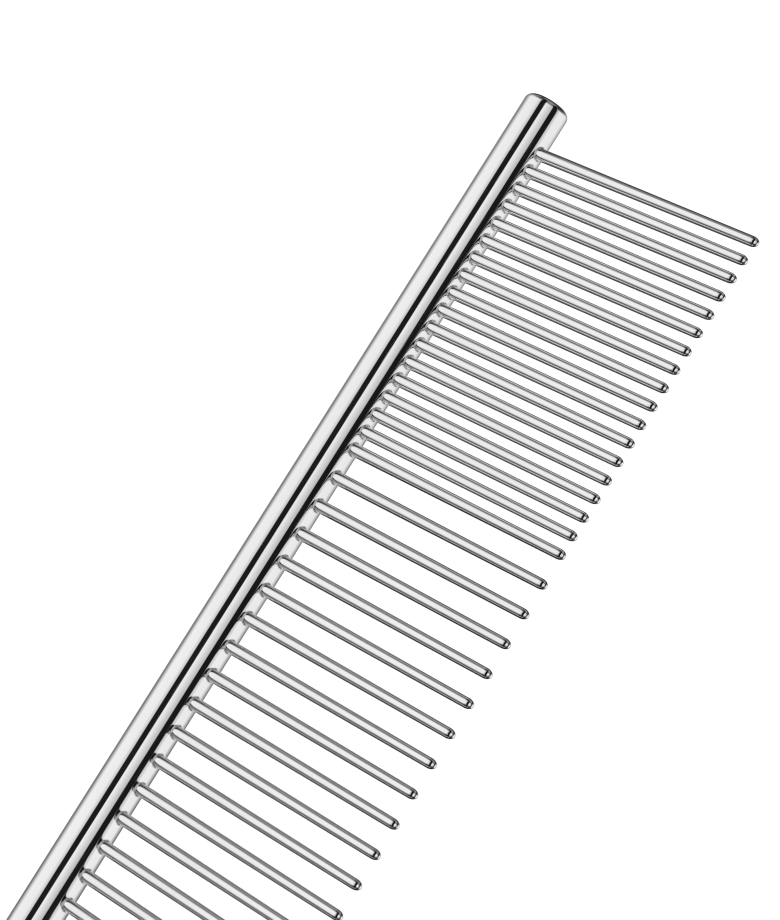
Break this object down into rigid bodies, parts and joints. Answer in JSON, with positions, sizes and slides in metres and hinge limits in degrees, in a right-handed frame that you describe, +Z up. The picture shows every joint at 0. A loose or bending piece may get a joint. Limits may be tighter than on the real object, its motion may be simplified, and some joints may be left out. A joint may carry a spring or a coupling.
{
  "type": "grooming comb",
  "caption": "Polished steel pet comb: a round bar spine with a single row of tapered, blunt-tipped pins, closely spaced at one end and widely spaced over the rest.",
  "frame": {"origin": "on the surface the comb lies on, under the middle of its outline", "axes": "+X along the spine towards the closely spaced teeth, the teeth point to -Y, +Z up from the surface the comb lies on"},
  "size_m": [0.1782, 0.033, 0.0048],
  "materials": {
    "spine_steel": "mirror-polished, with faint hairline marks along the bar",
    "tooth_steel": "mirror-polished, with faint hairline marks along each tooth"
  },
  "bodies": {
    "root": {"spine": "spine_steel", "fine_tooth_01": "tooth_steel", "fine_tooth_02": "tooth_steel", "fine_tooth_03": "tooth_steel", "fine_tooth_04": "tooth_steel", "fine_tooth_05": "tooth_steel", "fine_tooth_06": "tooth_steel", "fine_tooth_07": "tooth_steel", "fine_tooth_08": "tooth_steel", "fine_tooth_09": "tooth_steel", "fine_tooth_10": "tooth_steel", "fine_tooth_11": "tooth_steel", "fine_tooth_12": "tooth_steel", "fine_tooth_13": "tooth_steel", "fine_tooth_14": "tooth_steel", "fine_tooth_15": "tooth_steel", "fine_tooth_16": "tooth_steel", "fine_tooth_17": "tooth_steel", "fine_tooth_18": "tooth_steel", "coarse_tooth_01": "tooth_steel", "coarse_tooth_02": "tooth_steel", "coarse_tooth_03": "tooth_steel", "coarse_tooth_04": "tooth_steel", "coarse_tooth_05": "tooth_steel", "coarse_tooth_06": "tooth_steel", "coarse_tooth_07": "tooth_steel", "coarse_tooth_08": "tooth_steel", "coarse_tooth_09": "tooth_steel", "coarse_tooth_10": "tooth_steel", "coarse_tooth_11": "tooth_steel", "coarse_tooth_12": "tooth_steel", "coarse_tooth_13": "tooth_steel", "coarse_tooth_14": "tooth_steel", "coarse_tooth_15": "tooth_steel", "coarse_tooth_16": "tooth_steel", "coarse_tooth_17": "tooth_steel", "coarse_tooth_18": "tooth_steel", "coarse_tooth_19": "tooth_steel", "coarse_tooth_20": "tooth_steel", "coarse_tooth_21": "tooth_steel", "coarse_tooth_22": "tooth_steel", "coarse_tooth_23": "tooth_steel", "coarse_tooth_24": "tooth_steel", "coarse_tooth_25": "tooth_steel", "coarse_tooth_26": "tooth_steel", "coarse_tooth_27": "tooth_steel", "coarse_tooth_28": "tooth_steel", "coarse_tooth_29": "tooth_steel", "coarse_tooth_30": "tooth_steel", "coarse_tooth_31": "tooth_steel", "coarse_tooth_32": "tooth_steel", "coarse_tooth_33": "tooth_steel", "coarse_tooth_34": "tooth_steel", "coarse_tooth_35": "tooth_steel", "coarse_tooth_36": "tooth_steel", "coarse_tooth_37": "tooth_steel", "coarse_tooth_38": "tooth_steel", "coarse_tooth_39": "tooth_steel", "coarse_tooth_40": "tooth_steel", "coarse_tooth_41": "tooth_steel"}
  },
  "joints": []
}
